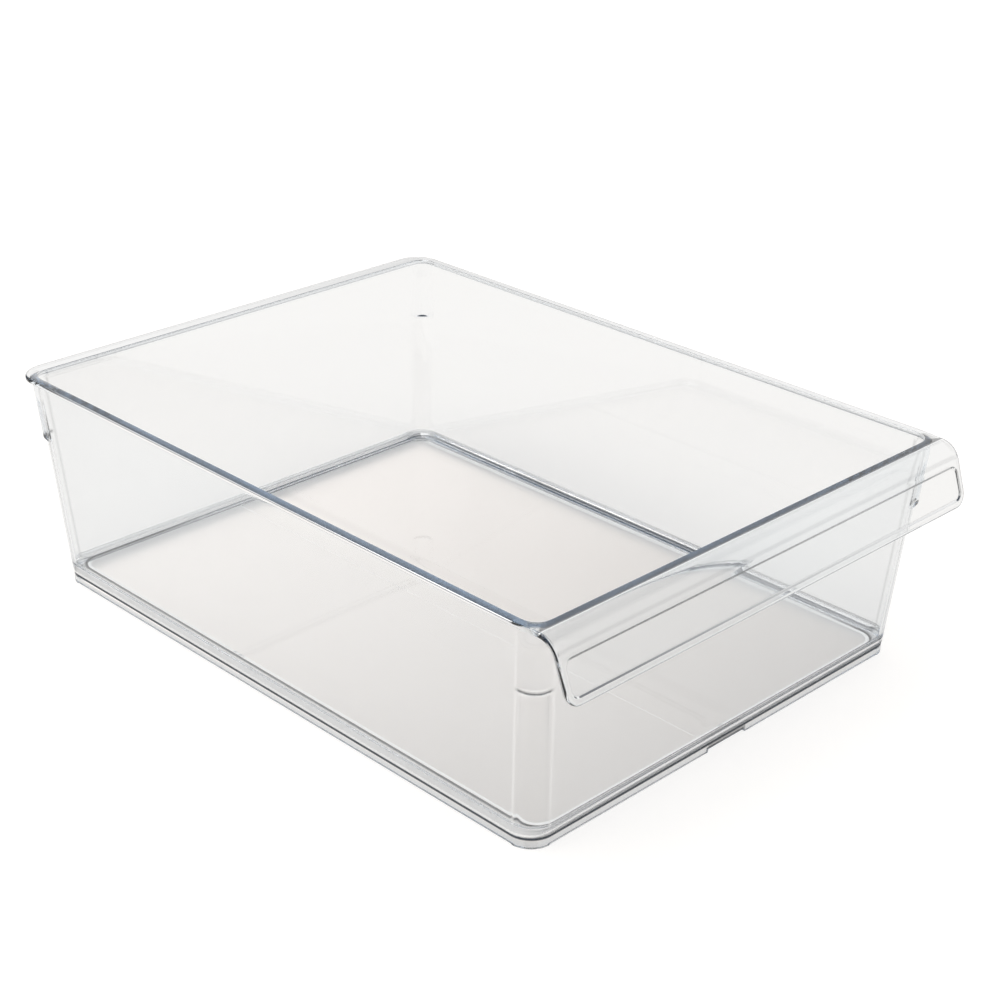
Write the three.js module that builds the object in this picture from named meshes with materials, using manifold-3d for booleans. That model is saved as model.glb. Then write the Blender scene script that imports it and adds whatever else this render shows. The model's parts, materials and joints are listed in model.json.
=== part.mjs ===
// Clear open-top fridge bin with a full-width front handle lip.
// Millimetres, +Z up. The handle faces -Y, the long sides face -X and +X.
// The origin is the middle of the whole bin, on the surface that it stands on.
// The bin is one moulding. Each mesh is one region of it, cut at a feature line.
import * as THREE from 'three';
import * as BufferGeometryUtils from 'three/addons/utils/BufferGeometryUtils.js';
import Module from 'manifold-3d';

const wasm = await Module();
wasm.setup();

// Overall form
const HEIGHT = 101.8;
const FOOT_HALF_WIDTH = 113.2;
const FOOT_HALF_DEPTH = 152.7;
const FOOT_CORNER_RADIUS = 11.1;
const CORNER_SEGMENTS = 12;

// Foot skirt
const FOOT_HEIGHT = 4.5;
const FOOT_THICKNESS = 2.2;
const FOOT_RELIEF = 0.5;
const FOOT_NOTCH_HALF_WIDTH = 11.5;
const FOOT_NOTCH_HEIGHT = 2;

// Walls: their outer faces lean out from the foot ledge to the top
const LEDGE_WIDTH = 0.2;
const WALL_LEAN = 7;
const WALL_THICKNESS = 2;
const WALL_CORNER_RADIUS = 11.1;

// Floor, and the cove between the floor and the walls
const FLOOR_THICKNESS = 2.2;
const COVE_HEIGHT = 2.2;
const COVE_SIDE = 2.2;
const COVE_END = 0.5;
const COVE_STEPS = 5;
const FLOOR_BAND_HALF_WIDTH = 13.4;
const FLOOR_BAND_DEPTH = 0.4;

// Rim flange
const RIM_THICKNESS = 2.2;
const RIM_OVERHANG_SIDE = 2.2;
const RIM_OVERHANG_BACK = 5.4;
const RIM_CORNER_RADIUS = 13;
const RIM_EDGE_ROUND = 0.7;

// Front handle lip
const LIP_CROWN_RUN = 1.2;
const LIP_BEND_RADIUS = 10;
const LIP_LEAN_ANGLE = THREE.MathUtils.degToRad(19);
const LIP_DROP = 25;
const LIP_END_INSET = 0.9;
const LIP_SIDE_TAPER = 0.8;
const LIP_LOWER_RADIUS = 6.5;
const LIP_BEND_SEGMENTS = 14;

// Recessed grip panel on the lip
const PANEL_SIDE_MARGIN = 2.7;
const PANEL_LOWER_MARGIN = 2.9;
const PANEL_HEIGHT = 14.4;
const PANEL_DEPTH = 0.7;
const PANEL_WALL_SLOPE = 0.5;
const PANEL_CORNER_RADIUS = 3.6;

// Stacking lugs on the four corners, under the rim
const LUG_HEIGHT = 26.4;
const LUG_PROUD = 0.3;
const LUG_CORNER_RADIUS = 6;
const LUG_SHELF_DROP = 1.8;
const LUG_CLEARANCE = 0.1;

// One overrun for every cutting solid
const OVERRUN = 2;

// Levels that several regions share
const FLOOR_TOP = FOOT_HEIGHT + FLOOR_THICKNESS;
const RIM_UNDERSIDE = HEIGHT - RIM_THICKNESS;
const WALL_BASE_HALF_WIDTH = FOOT_HALF_WIDTH + LEDGE_WIDTH;
const WALL_BASE_HALF_DEPTH = FOOT_HALF_DEPTH + LEDGE_WIDTH;
const RIM_HALF_WIDTH = WALL_BASE_HALF_WIDTH + WALL_LEAN + RIM_OVERHANG_SIDE;
const RIM_HALF_DEPTH = WALL_BASE_HALF_DEPTH + WALL_LEAN + RIM_OVERHANG_BACK;
const RIM_END = -(WALL_BASE_HALF_DEPTH + WALL_LEAN - WALL_CORNER_RADIUS);

// A closed outline of a rounded rectangle, counterclockwise from above, as plain points.
function roundedOutline(halfWidth, halfDepth, radius) {
  const corners = [[1, 1], [-1, 1], [-1, -1], [1, -1]];
  const points = [];
  corners.forEach(([sideX, sideY], quarter) => {
    for (let step = 0; step <= CORNER_SEGMENTS; step += 1) {
      const angle = (quarter + step / CORNER_SEGMENTS) * Math.PI / 2;
      const x = sideX * (halfWidth - radius) + radius * Math.cos(angle);
      const y = sideY * (halfDepth - radius) + radius * Math.sin(angle);
      points.push(new THREE.Vector2(x, y));
    }
  });
  return points;
}

// A solid whose surface runs through rings of equally many points, each ring convex.
// An open stack gets a cap at each end, and a looped one closes on its first ring.
function loftRings(rings, looped) {
  const count = rings[0].length;
  const positions = [];
  const indices = [];
  rings.forEach((ring) => ring.forEach((p) => positions.push(p.x, p.y, p.z)));
  const bands = looped ? rings.length : rings.length - 1;
  for (let band = 0; band < bands; band += 1) {
    const lower = band * count;
    const upper = ((band + 1) % rings.length) * count;
    for (let i = 0; i < count; i += 1) {
      const next = (i + 1) % count;
      indices.push(lower + i, lower + next, upper + next);
      indices.push(lower + i, upper + next, upper + i);
    }
  }
  if (!looped) {
    const last = (rings.length - 1) * count;
    for (let i = 1; i < count - 1; i += 1) {
      indices.push(0, i + 1, i);
      indices.push(last, last + i, last + i + 1);
    }
  }
  const geometry = new THREE.BufferGeometry();
  geometry.setAttribute('position', new THREE.Float32BufferAttribute(positions, 3));
  geometry.setIndex(indices);
  return geometry;
}

function ringAt(outline, z) {
  return outline.map((p) => new THREE.Vector3(p.x, p.y, z));
}

// Solids from geometry, and back again
function toSolid(geometry) {
  const bare = geometry.clone();
  bare.deleteAttribute('normal');
  bare.deleteAttribute('uv');
  const merged = BufferGeometryUtils.mergeVertices(bare);
  return new wasm.Manifold(new wasm.Mesh({
    numProp: 3,
    vertProperties: new Float32Array(merged.attributes.position.array),
    triVerts: new Uint32Array(merged.index.array),
  }));
}

function toGeometry(solid) {
  const mesh = solid.getMesh();
  const geometry = new THREE.BufferGeometry();
  geometry.setAttribute('position', new THREE.BufferAttribute(mesh.vertProperties, 3));
  geometry.setIndex(new THREE.BufferAttribute(mesh.triVerts, 1));
  geometry.computeVertexNormals();
  return geometry;
}

// A box between two corner points
function boxSolid(low, high) {
  const size = high.clone().sub(low);
  const middle = low.clone().add(high).multiplyScalar(0.5);
  return toSolid(new THREE.BoxGeometry(size.x, size.y, size.z).translate(middle.x, middle.y, middle.z));
}

// A section drawn as (distance forwards, height) and run across the whole width
function acrossWidth(shape, halfWidth, curveSegments) {
  const geometry = new THREE.ExtrudeGeometry(shape, {
    depth: 2 * halfWidth, bevelEnabled: false, curveSegments,
  });
  geometry.translate(0, 0, -halfWidth);
  geometry.applyMatrix4(new THREE.Matrix4().makeBasis(
    new THREE.Vector3(0, -1, 0), new THREE.Vector3(0, 0, 1), new THREE.Vector3(-1, 0, 0),
  ));
  return toSolid(geometry);
}

// How far the walls lean out at a height, from nothing at the foot ledge to all at the top
function leanAt(z) {
  return WALL_LEAN * (z - FOOT_HEIGHT) / (HEIGHT - FOOT_HEIGHT);
}

function wallOuter(z) {
  const out = leanAt(z);
  return roundedOutline(WALL_BASE_HALF_WIDTH + out, WALL_BASE_HALF_DEPTH + out, WALL_CORNER_RADIUS);
}

// The inner face, drawn in further at the cove by its side and end widths
function wallInner(z, drawInSide = 0, drawInEnd = 0) {
  const out = leanAt(z) - WALL_THICKNESS;
  return roundedOutline(
    WALL_BASE_HALF_WIDTH + out - drawInSide,
    WALL_BASE_HALF_DEPTH + out - drawInEnd,
    WALL_CORNER_RADIUS - WALL_THICKNESS,
  );
}

// The bin's open space, carried past the rim so that it cuts the rim and the lip
function cavitySolid() {
  const top = HEIGHT + OVERRUN;
  return toSolid(loftRings([
    ringAt(wallInner(RIM_UNDERSIDE - OVERRUN), RIM_UNDERSIDE - OVERRUN),
    ringAt(wallInner(top), top),
  ], false));
}

// Foot skirt: an upright ring that stands on its four corner arcs only
function footSkirt() {
  const outer = roundedOutline(FOOT_HALF_WIDTH, FOOT_HALF_DEPTH, FOOT_CORNER_RADIUS);
  const inner = roundedOutline(
    FOOT_HALF_WIDTH - FOOT_THICKNESS, FOOT_HALF_DEPTH - FOOT_THICKNESS, FOOT_CORNER_RADIUS - FOOT_THICKNESS,
  );
  const outerTop = roundedOutline(WALL_BASE_HALF_WIDTH, WALL_BASE_HALF_DEPTH, FOOT_CORNER_RADIUS);
  let skirt = toSolid(loftRings([
    ringAt(outer, 0), ringAt(outerTop, FOOT_HEIGHT), ringAt(inner, FOOT_HEIGHT), ringAt(inner, 0),
  ], true));
  const runX = FOOT_HALF_WIDTH - FOOT_CORNER_RADIUS;
  const runY = FOOT_HALF_DEPTH - FOOT_CORNER_RADIUS;
  const farX = FOOT_HALF_WIDTH + OVERRUN;
  const farY = FOOT_HALF_DEPTH + OVERRUN;
  const reliefs = [
    boxSolid(new THREE.Vector3(-runX, -farY, -OVERRUN), new THREE.Vector3(runX, farY, FOOT_RELIEF)),
    boxSolid(new THREE.Vector3(-farX, -runY, -OVERRUN), new THREE.Vector3(farX, runY, FOOT_RELIEF)),
    boxSolid(
      new THREE.Vector3(-FOOT_NOTCH_HALF_WIDTH, -farY, -OVERRUN),
      new THREE.Vector3(FOOT_NOTCH_HALF_WIDTH, -runY, FOOT_NOTCH_HEIGHT),
    ),
  ];
  reliefs.forEach((relief) => { skirt = skirt.subtract(relief); });
  return toGeometry(skirt);
}

// Floor panel: a flat plate with a shallow band down its middle, in line with the foot's notch
function floorPanel() {
  const plate = toSolid(loftRings([
    ringAt(wallOuter(FOOT_HEIGHT), FOOT_HEIGHT), ringAt(wallOuter(FLOOR_TOP), FLOOR_TOP),
  ], false));
  const bandEnd = WALL_BASE_HALF_DEPTH - WALL_THICKNESS - COVE_END;
  const band = boxSolid(
    new THREE.Vector3(-FLOOR_BAND_HALF_WIDTH, -bandEnd, FLOOR_TOP - FLOOR_BAND_DEPTH),
    new THREE.Vector3(FLOOR_BAND_HALF_WIDTH, bandEnd, FLOOR_TOP + OVERRUN),
  );
  return toGeometry(plate.subtract(band));
}

// Wall band: four leaning walls with rounded corners, and the cove that runs into the floor
function wallBand() {
  const rings = [ringAt(wallOuter(FLOOR_TOP), FLOOR_TOP), ringAt(wallOuter(RIM_UNDERSIDE), RIM_UNDERSIDE)];
  rings.push(ringAt(wallInner(RIM_UNDERSIDE), RIM_UNDERSIDE));
  for (let step = 0; step <= COVE_STEPS; step += 1) {
    const turn = (step / COVE_STEPS) * Math.PI / 2;
    const z = FLOOR_TOP + COVE_HEIGHT * (1 - Math.sin(turn));
    const drawIn = 1 - Math.cos(turn);
    rings.push(ringAt(wallInner(z, COVE_SIDE * drawIn, COVE_END * drawIn), z));
  }
  return loftRings(rings, true);
}

// Rim flange: left, back and right, up to where the front corners begin
function rimFlange() {
  const outline = (inset) => roundedOutline(
    RIM_HALF_WIDTH - inset, RIM_HALF_DEPTH - inset, RIM_CORNER_RADIUS - inset,
  );
  const plate = toSolid(loftRings([
    ringAt(outline(0), RIM_UNDERSIDE),
    ringAt(outline(0), HEIGHT - RIM_EDGE_ROUND),
    ringAt(outline(RIM_EDGE_ROUND * (1 - Math.SQRT1_2)), HEIGHT - RIM_EDGE_ROUND * (1 - Math.SQRT1_2)),
    ringAt(outline(RIM_EDGE_ROUND), HEIGHT),
  ], false));
  const front = boxSolid(
    new THREE.Vector3(-RIM_HALF_WIDTH - OVERRUN, -RIM_HALF_DEPTH - OVERRUN, RIM_UNDERSIDE - OVERRUN),
    new THREE.Vector3(RIM_HALF_WIDTH + OVERRUN, RIM_END, HEIGHT + OVERRUN),
  );
  return toGeometry(plate.subtract(cavitySolid()).subtract(front));
}

// Where the lip's bend starts, measured forwards from the middle of the bin
function lipBendStart() {
  return WALL_BASE_HALF_DEPTH + WALL_LEAN + LUG_PROUD + LIP_CROWN_RUN;
}

// The lip's section: flat crown, bend, leaning face and a rounded lower edge
function lipSection() {
  const bendX = lipBendStart();
  const bendZ = HEIGHT - LIP_BEND_RADIUS;
  const lean = LIP_LEAN_ANGLE;
  const innerRadius = LIP_BEND_RADIUS - RIM_THICKNESS;
  const faceTopZ = bendZ + LIP_BEND_RADIUS * Math.sin(lean);
  const nose = RIM_THICKNESS / 2;
  const faceLength = (faceTopZ - (HEIGHT - LIP_DROP) - nose * (1 - Math.sin(lean))) / Math.cos(lean);
  const middle = LIP_BEND_RADIUS - nose;
  const noseX = bendX + middle * Math.cos(lean) + faceLength * Math.sin(lean);
  const noseZ = bendZ + middle * Math.sin(lean) - faceLength * Math.cos(lean);
  const shape = new THREE.Shape();
  shape.moveTo(-RIM_END, RIM_UNDERSIDE);
  shape.lineTo(bendX, RIM_UNDERSIDE);
  shape.absarc(bendX, bendZ, innerRadius, Math.PI / 2, lean, true);
  shape.absarc(noseX, noseZ, nose, Math.PI + lean, lean, false);
  shape.absarc(bendX, bendZ, LIP_BEND_RADIUS, lean, Math.PI / 2, false);
  shape.lineTo(-RIM_END, HEIGHT);
  shape.closePath();
  return shape;
}

// Half the lip's width where its lower corners begin
function lipLowerHalfWidth() {
  return RIM_HALF_WIDTH - LIP_END_INSET - LIP_SIDE_TAPER;
}

// How far forward the lip's leaning face lies at a height
function lipFaceForward(z) {
  const tangentX = lipBendStart() + LIP_BEND_RADIUS * Math.cos(LIP_LEAN_ANGLE);
  const tangentZ = HEIGHT - LIP_BEND_RADIUS + LIP_BEND_RADIUS * Math.sin(LIP_LEAN_ANGLE);
  return tangentX + (tangentZ - z) * Math.tan(LIP_LEAN_ANGLE);
}

// What the lip looks like from the front: set in below the rim, with rounded lower corners
function lipFrontOutline() {
  const low = HEIGHT - LIP_DROP - OVERRUN;
  const high = HEIGHT + OVERRUN;
  const centreX = lipLowerHalfWidth() - LIP_LOWER_RADIUS;
  const centreZ = HEIGHT - LIP_DROP + LIP_LOWER_RADIUS;
  const shape = new THREE.Shape();
  shape.moveTo(-RIM_HALF_WIDTH, high);
  shape.lineTo(-RIM_HALF_WIDTH, RIM_UNDERSIDE);
  shape.lineTo(-(RIM_HALF_WIDTH - LIP_END_INSET), RIM_UNDERSIDE);
  shape.absarc(-centreX, centreZ, LIP_LOWER_RADIUS, Math.PI, Math.PI * 3 / 2, false);
  shape.lineTo(-centreX, low);
  shape.lineTo(centreX, low);
  shape.absarc(centreX, centreZ, LIP_LOWER_RADIUS, -Math.PI / 2, 0, false);
  shape.lineTo(RIM_HALF_WIDTH - LIP_END_INSET, RIM_UNDERSIDE);
  shape.lineTo(RIM_HALF_WIDTH, RIM_UNDERSIDE);
  shape.lineTo(RIM_HALF_WIDTH, high);
  shape.closePath();
  return shape;
}

// What the lip looks like from above: flush with the rim, then drawn in to the bend
function lipPlanOutline() {
  const inset = RIM_HALF_WIDTH - LIP_END_INSET;
  const front = lipBendStart() + LIP_BEND_RADIUS + LIP_DROP;
  const shape = new THREE.Shape();
  shape.moveTo(-RIM_HALF_WIDTH, RIM_END);
  shape.lineTo(-inset, -lipBendStart());
  shape.lineTo(-inset, -front);
  shape.lineTo(inset, -front);
  shape.lineTo(inset, -lipBendStart());
  shape.lineTo(RIM_HALF_WIDTH, RIM_END);
  shape.closePath();
  return shape;
}

// A shallow pocket with sloped sides, sunk square to the leaning face
function panelPocket() {
  const lowerZ = HEIGHT - LIP_DROP + PANEL_LOWER_MARGIN;
  const middleZ = lowerZ + PANEL_HEIGHT * Math.cos(LIP_LEAN_ANGLE) / 2;
  const halfWidth = lipLowerHalfWidth() - PANEL_SIDE_MARGIN;
  const spread = (PANEL_DEPTH + OVERRUN) * PANEL_WALL_SLOPE;
  const sunk = roundedOutline(
    halfWidth - PANEL_DEPTH * PANEL_WALL_SLOPE,
    PANEL_HEIGHT / 2 - PANEL_DEPTH * PANEL_WALL_SLOPE,
    PANEL_CORNER_RADIUS - PANEL_DEPTH * PANEL_WALL_SLOPE,
  );
  const open = roundedOutline(
    halfWidth - PANEL_DEPTH * PANEL_WALL_SLOPE + spread,
    PANEL_HEIGHT / 2 - PANEL_DEPTH * PANEL_WALL_SLOPE + spread,
    PANEL_CORNER_RADIUS - PANEL_DEPTH * PANEL_WALL_SLOPE + spread,
  );
  const geometry = loftRings([ringAt(sunk, -PANEL_DEPTH), ringAt(open, OVERRUN)], false);
  geometry.rotateX(Math.PI / 2 - LIP_LEAN_ANGLE);
  geometry.translate(0, -lipFaceForward(middleZ), middleZ);
  return toSolid(geometry);
}

// Front handle lip: crown over the front wall, bend, leaning apron and its recessed panel
function frontHandle() {
  const section = acrossWidth(lipSection(), RIM_HALF_WIDTH, LIP_BEND_SEGMENTS);
  const front = new THREE.ExtrudeGeometry(lipFrontOutline(), {
    depth: lipBendStart() + LIP_BEND_RADIUS + LIP_DROP, bevelEnabled: false, curveSegments: LIP_BEND_SEGMENTS,
  });
  front.rotateX(Math.PI / 2);
  const plan = new THREE.ExtrudeGeometry(lipPlanOutline(), {
    depth: LIP_DROP + 2 * OVERRUN, bevelEnabled: false,
  });
  plan.translate(0, 0, HEIGHT - LIP_DROP - OVERRUN);
  const lip = section.intersect(toSolid(front)).intersect(toSolid(plan));
  return toGeometry(lip.subtract(cavitySolid()).subtract(panelPocket()));
}

// One upright slice of a lug at an angle round the corner: seat, then outer face
function lugSlice(angle) {
  const base = RIM_UNDERSIDE - LUG_HEIGHT;
  const seat = WALL_CORNER_RADIUS + LUG_CLEARANCE;
  const shift = WALL_CORNER_RADIUS + LUG_PROUD - LUG_CORNER_RADIUS;
  const place = (z, reach, offset) => new THREE.Vector3(
    WALL_BASE_HALF_WIDTH + leanAt(z) - WALL_CORNER_RADIUS + offset + reach * Math.cos(angle),
    WALL_BASE_HALF_DEPTH + leanAt(z) - WALL_CORNER_RADIUS + offset + reach * Math.sin(angle),
    z,
  );
  return [
    place(base - LUG_SHELF_DROP, seat, 0),
    place(RIM_UNDERSIDE, seat, 0),
    place(RIM_UNDERSIDE, LUG_CORNER_RADIUS, shift),
    place(base, LUG_CORNER_RADIUS, shift),
  ];
}

// The same solid on another corner: a single mirroring turns its faces, so they are turned back
function mirrored(geometry, sideX, sideY) {
  geometry.scale(sideX, sideY, 1);
  if (sideX * sideY < 0) {
    const index = geometry.index.array;
    for (let i = 0; i < index.length; i += 3) {
      [index[i + 1], index[i + 2]] = [index[i + 2], index[i + 1]];
    }
  }
  geometry.computeVertexNormals();
  return geometry;
}

// Stacking lug: the corner stands proud under the rim and ends in a sloped shelf
function stackingLug(sideX, sideY) {
  const slices = [];
  for (let step = 0; step <= CORNER_SEGMENTS; step += 1) {
    slices.push(lugSlice((step / CORNER_SEGMENTS) * Math.PI / 2));
  }
  return mirrored(loftRings(slices, false), sideX, sideY);
}

// Every region is the same clear plastic
function clearPlastic() {
  return new THREE.MeshStandardMaterial({
    color: 0xe9eeee, roughness: 0.06, metalness: 0, transparent: true, opacity: 0.35,
  });
}

function region(name, geometry) {
  const mesh = new THREE.Mesh(geometry, clearPlastic());
  mesh.name = name;
  return mesh;
}

const bin = new THREE.Group();
bin.add(region('foot_skirt', footSkirt()));
bin.add(region('floor_panel', floorPanel()));
bin.add(region('wall_band', wallBand()));
bin.add(region('rim_flange', rimFlange()));
bin.add(region('front_handle', frontHandle()));
bin.add(region('stacking_lug_front_left', stackingLug(-1, -1)));
bin.add(region('stacking_lug_front_right', stackingLug(1, -1)));
bin.add(region('stacking_lug_back_left', stackingLug(-1, 1)));
bin.add(region('stacking_lug_back_right', stackingLug(1, 1)));

// The lip reaches forward, so the whole bin moves back until its middle is at the origin
const binMiddle = new THREE.Box3().setFromObject(bin).getCenter(new THREE.Vector3());
bin.children.forEach((mesh) => mesh.geometry.translate(0, -binMiddle.y, 0));

export default bin;
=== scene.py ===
"""Clear open-top fridge bin: one seamless shell with its rim, corner lugs and front handle lip.

Every length is in metres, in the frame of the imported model: +Z up, the handle faces -Y,
and the bin stands on z = 0.
"""

import json
import math

import bmesh
import bpy
import numpy as np
from mathutils import Matrix, Vector
from mathutils.geometry import delaunay_2d_cdt

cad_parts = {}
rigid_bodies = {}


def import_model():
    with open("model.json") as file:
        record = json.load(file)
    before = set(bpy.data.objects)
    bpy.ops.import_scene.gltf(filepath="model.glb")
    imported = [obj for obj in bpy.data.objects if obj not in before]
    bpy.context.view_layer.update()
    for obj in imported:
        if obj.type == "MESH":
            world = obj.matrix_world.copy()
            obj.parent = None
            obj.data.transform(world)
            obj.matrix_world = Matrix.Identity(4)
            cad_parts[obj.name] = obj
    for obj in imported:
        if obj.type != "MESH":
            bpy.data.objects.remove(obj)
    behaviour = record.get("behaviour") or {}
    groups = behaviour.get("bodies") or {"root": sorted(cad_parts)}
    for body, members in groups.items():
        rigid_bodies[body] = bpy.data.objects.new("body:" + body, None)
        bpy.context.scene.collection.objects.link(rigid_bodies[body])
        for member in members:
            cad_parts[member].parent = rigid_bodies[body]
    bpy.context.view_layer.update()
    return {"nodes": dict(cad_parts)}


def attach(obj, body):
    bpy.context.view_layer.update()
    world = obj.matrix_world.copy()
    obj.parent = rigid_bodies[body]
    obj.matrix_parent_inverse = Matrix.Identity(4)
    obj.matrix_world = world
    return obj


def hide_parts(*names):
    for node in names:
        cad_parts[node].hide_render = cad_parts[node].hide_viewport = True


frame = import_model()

bl_info = {
    "name": "Clear Fridge Bin",
    "version": (1, 0, 0),
    "blender": (4, 5, 0),
    "location": "3D View > Sidebar > Fridge Bin",
    "description": "Builds a clear open-top fridge bin with a front handle lip, and its studio",
    "category": "Add Mesh",
}

MM = 0.001


def length(name, description, millimetres):
    return bpy.props.FloatProperty(
        name=name, description=description, default=millimetres * MM, min=0.0, unit="LENGTH",
        precision=5)


def angle(name, description, degrees):
    return bpy.props.FloatProperty(
        name=name, description=description, default=math.radians(degrees), subtype="ANGLE")


def tint(name, description, default, most=1.0):
    return bpy.props.FloatVectorProperty(
        name=name, description=description, default=default, size=3, min=0.0, max=most,
        subtype="COLOR")


def number(name, description, default, **kind):
    return bpy.props.FloatProperty(name=name, description=description, default=default, **kind)


class ShellSizes(bpy.types.PropertyGroup):
    """Sizes of the foot, the walls and the floor."""
    height: length("Height", "From the shelf to the top of the rim", 101.8)
    half_width: length("Half width", "Middle to the wall's outer face at the foot ledge", 113.4)
    half_depth: length("Half depth", "The same from the middle to the front and back", 152.9)
    middle_y: length("Middle", "How far the walls' middle lies behind the origin", 5.8228)
    corner_radius: length("Corner radius", "Outer radius of the upright corners", 11.1)
    lean: length("Lean", "How far the walls lean out from the ledge to the top", 7.0)
    wall: length("Wall", "Thickness of the walls", 2.0)
    plate: length("Plate", "Thickness of the floor, the rim and the lip", 2.2)
    foot_height: length("Foot height", "Height of the foot skirt", 4.5)
    foot_inset: length("Foot inset", "Skirt's outer face inside of the wall's", 0.2)
    foot_wall: length("Foot wall", "Thickness of the foot skirt", 2.2)
    foot_relief: length("Foot relief", "Straight runs' height above the shelf", 0.5)
    notch_half_width: length("Notch half width", "Half the notch in the front skirt", 11.5)
    notch_height: length("Notch height", "Top of the notch above the shelf", 2.0)
    groove_depth: length("Groove depth", "Depth of the crease between the skirt and the wall", 0.62)
    groove_rise: length("Groove rise", "Height of the rounded wall edge above the crease", 1.9)
    cove_height: length("Cove height", "Height of the curve between the wall and the floor", 3.6)
    cove_side: length("Cove at the sides", "Width of that curve along the sides", 4.8)
    cove_end: length("Cove at the ends", "Width of that curve along the front and back", 1.5)
    corner_ridge: length("Corner ridge", "Height of the soft ridges where corners start", 0.1)
    band_half_width: length("Floor band half width", "Half the shallow band down the floor", 13.4)
    band_depth: length("Floor band depth", "Depth of the shallow band", 0.35)
    band_fade: length("Floor band fade", "Width over which the band's right side fades out", 7.0)


class LugSizes(bpy.types.PropertyGroup):
    """Sizes of the stacking lugs on the four corners."""
    low: length("Shelf low", "Height where a lug's sloped shelf leaves the wall", 70.2)
    high: length("Shelf high", "Height where a lug is full", 72.5)
    radius: length("Lug radius", "Corner radius of a lug, which makes the corner squarer", 7.2)


class RimSizes(bpy.types.PropertyGroup):
    """Sizes of the rim flange and the front handle lip."""
    half_width: length("Rim half width", "Middle to the rim's side edge", 122.6)
    half_depth: length("Rim half depth", "Walls' middle to the rim's back edge", 165.3)
    corner_radius: length("Rim corner radius", "Radius of the two back corners", 13.0)
    flush_until: length("Flush until", "How far forward the sides stay flush", 148.8)
    edge_round: length("Edge round", "Rounding of the rim's and lip's free edges", 1.0)
    mouth_round: length("Mouth round", "Rounding between the rim's top and the inner wall", 0.4)
    bend_start: length("Bend start", "Walls' middle to where the lip starts to bend", 161.4)
    bend_radius: length("Bend radius", "Outer radius of the lip's bend", 10.0)
    lean: angle("Lip lean", "Lean of the lip's face from upright", 19)
    face_length: length("Face length", "Leaning face from the bend to its lower edge", 19.36)
    end_inset: length("End inset", "Lip ends inside of the rim's side edges", 0.9)
    side_taper: length("Side taper", "Further draw-in down to the lower corners", 0.8)
    lower_radius: length("Lower radius", "Radius of the lip's lower corners", 6.5)
    panel_half_width: length("Panel half width", "Half the recessed grip panel", 118.2)
    panel_height: length("Panel height", "Height of the panel along the leaning face", 14.4)
    panel_margin: length("Panel margin", "Bend's end to the panel's upper edge", 1.85)
    panel_radius: length("Panel radius", "Corner radius of the panel", 3.6)
    panel_depth: length("Panel depth", "Depth of the panel", 0.7)
    panel_edge: length("Panel edge", "Rounding at the top and the foot of the panel's slope", 0.15)
    panel_slope: angle("Panel slope", "Steepness of the panel's edges", 48)


class PlasticLook(bpy.types.PropertyGroup):
    """Finish of the clear plastic, with the colour of its painted shade lines and the strength of
    its painted highlight lines.
    """
    colour: tint("Colour", "Colour of the plastic's surface", (0.985, 0.99, 0.99))
    ior: number("Index of refraction", "How strongly the plastic bends light", 1.57)
    gloss_low: number(
        "Smoothest", "Roughness where the surface is cleanest", 0.01, subtype="FACTOR")
    gloss_high: number(
        "Roughest", "Roughness where handling has dulled it", 0.035, subtype="FACTOR")
    # Painted shade: along the marked dark lines the surface colour darkens towards this near-black
    # colour.
    painted_shade_colour: tint(
        "Edge colour", "Colour along creases and sharp edges, where clear plastic looks dark",
        (0.004, 0.006, 0.010))
    # Painted highlights: along the marked light lines the surface turns metallic, a mirror-like
    # strip, up to this share.
    edge_light: number(
        "Edge light", "How far the light lines beside the creases mirror the studio", 1.0,
        subtype="FACTOR")
    matt: number(
        "Matt underside", "Roughness of the floor's matt underside", 0.55, subtype="FACTOR")
    depth_colour: tint(
        "Depth colour", "Tint that light takes on along the plastic", (0.74, 0.81, 0.88))
    depth_density: number("Depth density", "How fast the tint builds up, per metre", 40.0)
    ripple: length("Ripple", "Height of the moulded surface's faint waves", 0.02)


class StudioLook(bpy.types.PropertyGroup):
    """Floor, world, lamps and camera."""
    floor_colour: tint("Floor colour", "Colour of the pale floor", (0.28, 0.265, 0.25))
    floor_glow: tint(
        "Floor glow", "How far the floor is lifted towards white where it is seen",
        (0.79, 0.79, 0.79))
    # Painted light: under the bin the floor glows warmer and brighter, more so towards the back,
    # standing in for light on the floor inside the bin.
    painted_light_colour: tint(
        "Card glow", "The same for the warm card that lies under the bin",
        (1.06, 0.99, 0.935), most=2.0)
    painted_light_level: number("Card level", "Strength of the card's glow at its middle", 1.16)
    painted_light_rise: number(
        "Card rise", "How much that strength grows towards the back, per metre", 2.2)
    glow_in_glass: number(
        "Glow in glass", "Share of the glow that shows in gloss and through glass", 0.80)
    sky_level: number("Sky level", "Strength of the plain world light", 1.0)
    dark_colour: tint(
        "Dark colour", "Colour of the studio's unlit parts in gloss and glass",
        (0.05, 0.06, 0.08))
    lamp_power: number("Lamp power", "Power of the large soft lamp", 9.0, unit="POWER")
    lens: number("Lens", "Focal length for a 36 mm sensor", 71.9, unit="CAMERA")


# Fixed measures of the moulding and of its mesh

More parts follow.
